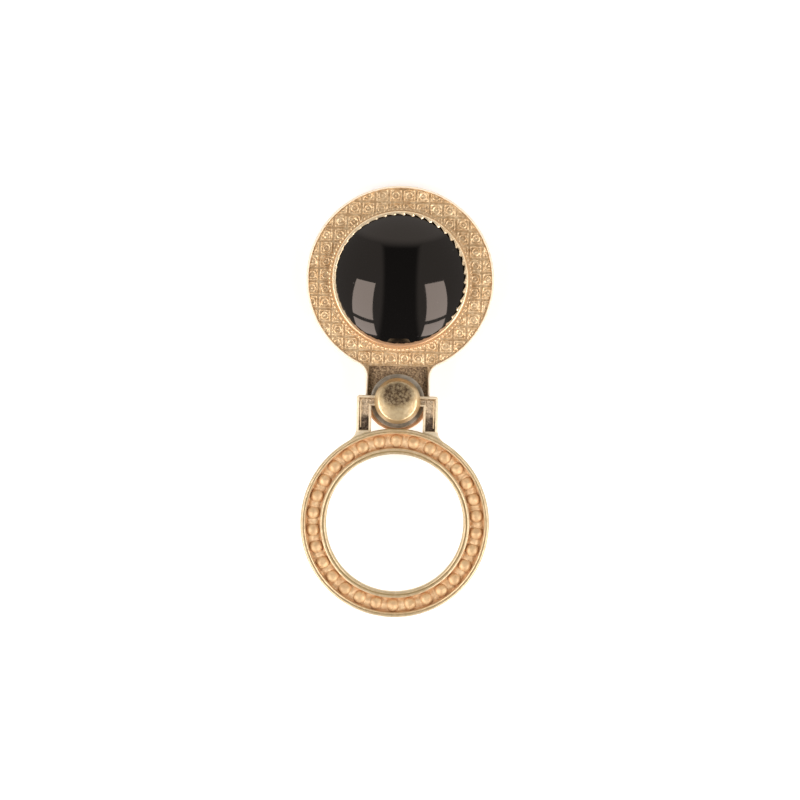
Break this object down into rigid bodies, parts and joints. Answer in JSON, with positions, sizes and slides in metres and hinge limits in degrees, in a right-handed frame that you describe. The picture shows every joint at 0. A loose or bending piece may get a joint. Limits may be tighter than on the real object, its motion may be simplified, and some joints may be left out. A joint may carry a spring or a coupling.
{
  "type": "spectacle-holder brooch",
  "caption": "Brooch with a round plate and domed stone, and a ring that swings from a cap rivet to hold spectacles or a scarf.",
  "frame": {"origin": "on the rivet's axis, which is the middle of the object's length and width, at the level that the pin back rests on", "axes": "+Z the way the front faces, along the rivet's axis; +Y from the rivet to the stone; +X from the pin's hinge to its catch"},
  "size_m": [0.0286, 0.0656, 0.0105],
  "materials": {
    "antique_gold": "satin gold plate with brown antiquing in the low places",
    "bright_gold": "bright gold plate",
    "bead_gold": "polished warm gold",
    "cap_brass": "polished, with a dark antique stain",
    "post_brass": "plain drawn",
    "grey_steel": "dull grey",
    "nickel_steel": "nickel plated, satin",
    "pin_steel": "polished",
    "black_stone": "high gloss black",
    "adhesive_pad": "matt foam"
  },
  "bodies": {
    "plate": {"face_plate": "antique_gold", "bezel_cup": "bright_gold", "beaded_wire": "bright_gold", "stone_pad": "adhesive_pad", "cabochon": "black_stone", "spacer_washer": "grey_steel", "rivet_post": "post_brass", "stud_cap": "cap_brass", "pin_base": "nickel_steel", "catch_housing": "nickel_steel", "hinge_rivet": "post_brass"},
    "ring": {"ring_frame": "antique_gold", "ring_beads": "bead_gold"},
    "pin": {"pin_stem": "pin_steel"},
    "catch": {"catch_sleeve": "nickel_steel"}
  },
  "joints": [
    {"name": "ring_swing", "type": "hinge", "parent": "plate", "child": "ring", "pos_m": [0, 0, 0.00616], "axis": [0, 0, 1], "range_deg": [-93, 93]},
    {"name": "pin_hinge", "type": "hinge", "parent": "plate", "child": "pin", "pos_m": [-0.0082, 0.0215, 0.00146], "axis": [0, 1, 0], "range_deg": [0, 75]},
    {"name": "catch_turn", "type": "hinge", "parent": "plate", "child": "catch", "pos_m": [0.0082, 0.0215, 0.00146], "axis": [-1, 0, 0], "range_deg": [0, 75]}
  ]
}
